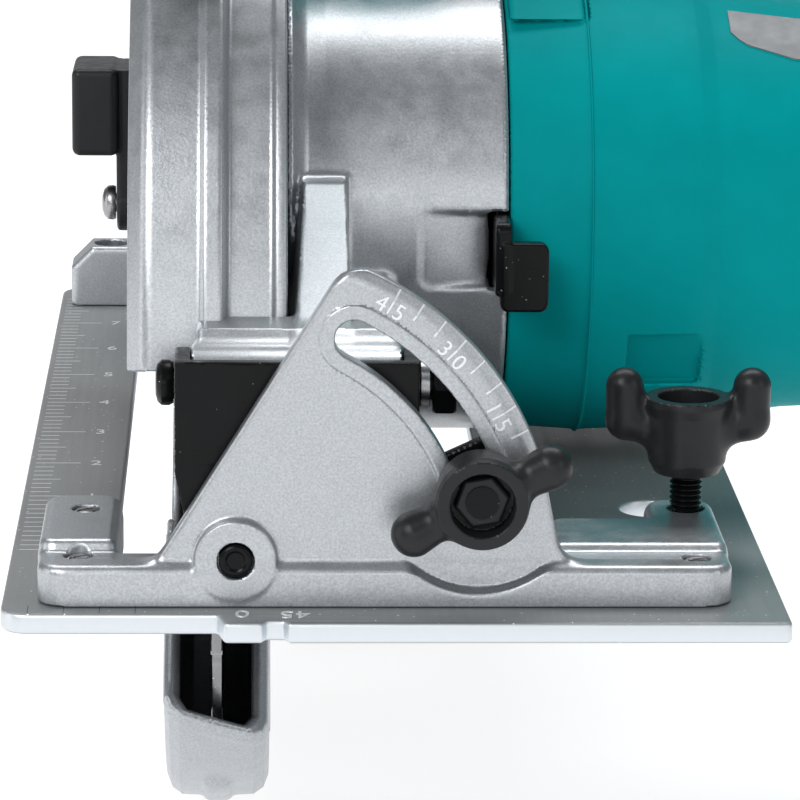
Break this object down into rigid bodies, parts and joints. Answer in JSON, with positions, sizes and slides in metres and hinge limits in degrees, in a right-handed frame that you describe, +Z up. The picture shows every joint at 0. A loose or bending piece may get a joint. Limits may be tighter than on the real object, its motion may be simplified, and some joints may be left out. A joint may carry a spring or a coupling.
{
  "type": "circular saw",
  "caption": "Corded hand-held circular saw with a tilting and depth-adjustable body on a flat base plate, moving lower blade guard, top handle and front grip.",
  "frame": {"origin": "on the sole, under the front land of the base plate, in the blade's mid-plane", "axes": "+X towards the motor, -Y towards the front of the saw, +Z up"},
  "size_m": [0.24, 0.312, 0.254],
  "materials": {
    "plate_steel": "grey steel plate, fine brushed",
    "cast_silver": "silver sparkle paint on die-cast aluminium",
    "black_steel": "glossy black coated steel",
    "bright_steel": "plain machined steel",
    "blade_steel": "ground tool steel",
    "teal_plastic": "fine-grained moulded plastic",
    "black_plastic": "satin black moulded plastic",
    "copper": "bare copper segments",
    "carbon": "matt carbon"
  },
  "bodies": {
    "base": {"base_plate": "plate_steel", "front_bracket": "cast_silver", "rear_bracket": "cast_silver", "bracket_screw_left": "bright_steel", "bracket_screw_right": "bright_steel", "bracket_screw_leg": "bright_steel", "rear_screw_left": "bright_steel", "rear_screw_right": "bright_steel", "front_bevel_pin": "black_steel", "rear_bevel_pin": "black_steel"},
    "fence_bolt": {"fence_wing_bolt": "black_plastic"},
    "tilt_frame": {"front_angle_plate": "black_steel", "rear_angle_plate": "black_steel", "depth_guide": "black_steel", "depth_pivot_pin": "black_steel", "depth_pivot_nut": "black_steel", "depth_pivot_spacer": "bright_steel", "bevel_clamp_bolt": "black_steel"},
    "bevel_knob": {"bevel_wing_knob": "black_plastic"},
    "saw_body": {"upper_guard": "cast_silver", "gear_housing": "cast_silver", "bearing_box": "cast_silver", "spindle_bearing": "bright_steel", "needle_bearing": "bright_steel", "armature_bearing_front": "bright_steel", "armature_bearing_rear": "bright_steel", "motor_housing": "teal_plastic", "rear_cover": "teal_plastic", "stator": "bright_steel", "brush_cap_front": "black_plastic", "brush_cap_rear": "black_plastic", "carbon_brush_front": "carbon", "carbon_brush_rear": "carbon", "handle_left": "teal_plastic", "handle_right": "teal_plastic", "handle_screw_front": "bright_steel", "handle_screw_rear": "bright_steel", "switch_unit": "black_plastic", "cord_inlet": "black_plastic", "front_grip": "black_plastic", "front_grip_screw": "bright_steel", "depth_lock_bolt": "bright_steel", "guard_spring": "bright_steel"},
    "spindle_set": {"spindle": "bright_steel", "inner_flange": "bright_steel", "outer_flange": "bright_steel", "blade_bolt": "bright_steel", "saw_blade": "blade_steel", "drive_gear": "bright_steel"},
    "armature": {"armature_shaft": "bright_steel", "armature_core": "bright_steel", "commutator": "copper", "cooling_fan": "black_plastic"},
    "lower_guard_set": {"lower_guard": "cast_silver", "guard_lever": "black_plastic", "guard_lever_screw": "bright_steel"},
    "trigger": {"trigger": "black_plastic"},
    "lock_button": {"lock_button": "black_plastic"},
    "shaft_lock": {"shaft_lock": "black_steel"},
    "depth_lever": {"depth_lever": "black_plastic"}
  },
  "joints": [
    {"name": "bevel_tilt", "type": "hinge", "parent": "base", "child": "tilt_frame", "pos_m": [0.0037, 0, 0.0124], "axis": [0, -1, 0], "range_deg": [0, 45]},
    {"name": "depth_swing", "type": "hinge", "parent": "tilt_frame", "child": "saw_body", "pos_m": [0, 0.008, 0.041], "axis": [1, 0, 0], "range_deg": [0, 33]},
    {"name": "fence_bolt_turn", "type": "hinge", "parent": "base", "child": "fence_bolt", "pos_m": [0.0872, 0.027, 0.02], "axis": [0, 0, 1], "range_deg": [0, 180]},
    {"name": "bevel_knob_turn", "type": "hinge", "parent": "tilt_frame", "child": "bevel_knob", "pos_m": [0.04687, -0.014, 0.0251], "axis": [0, -1, 0], "range_deg": [0, 90]},
    {"name": "blade_spin", "type": "hinge", "parent": "saw_body", "child": "spindle_set", "pos_m": [0, 0.12, 0.0265], "axis": [1, 0, 0], "continuous": true},
    {"name": "armature_spin", "type": "hinge", "parent": "saw_body", "child": "armature", "pos_m": [0, 0.112, 0.0538], "axis": [1, 0, 0], "continuous": true},
    {"name": "lower_guard_swing", "type": "hinge", "parent": "saw_body", "child": "lower_guard_set", "pos_m": [0, 0.12, 0.0265], "axis": [1, 0, 0], "range_deg": [0, 105], "stiffness_Nm_per_rad": 0.15, "springref_deg": -85.94},
    {"name": "trigger_press", "type": "slide", "parent": "saw_body", "child": "trigger", "axis": [0, 0, 1], "range_m": [0, 0.005], "stiffness_N_per_m": 600, "springref_m": -0.002},
    {"name": "lock_button_press", "type": "slide", "parent": "saw_body", "child": "lock_button", "axis": [1, 0, 0], "range_m": [0, 0.0028], "stiffness_N_per_m": 400, "springref_m": -0.001},
    {"name": "shaft_lock_press", "type": "slide", "parent": "saw_body", "child": "shaft_lock", "axis": [0, 1, 0], "range_m": [0, 0.004], "stiffness_N_per_m": 400, "springref_m": -0.001},
    {"name": "depth_lever_turn", "type": "hinge", "parent": "saw_body", "child": "depth_lever", "pos_m": [0.02, 0.1726, 0.02949], "axis": [1, 0, 0], "range_deg": [-35, 0]}
  ],
  "couplings": [
    {"joint": "armature_spin", "follows": "blade_spin", "ratio": -5.25}
  ]
}
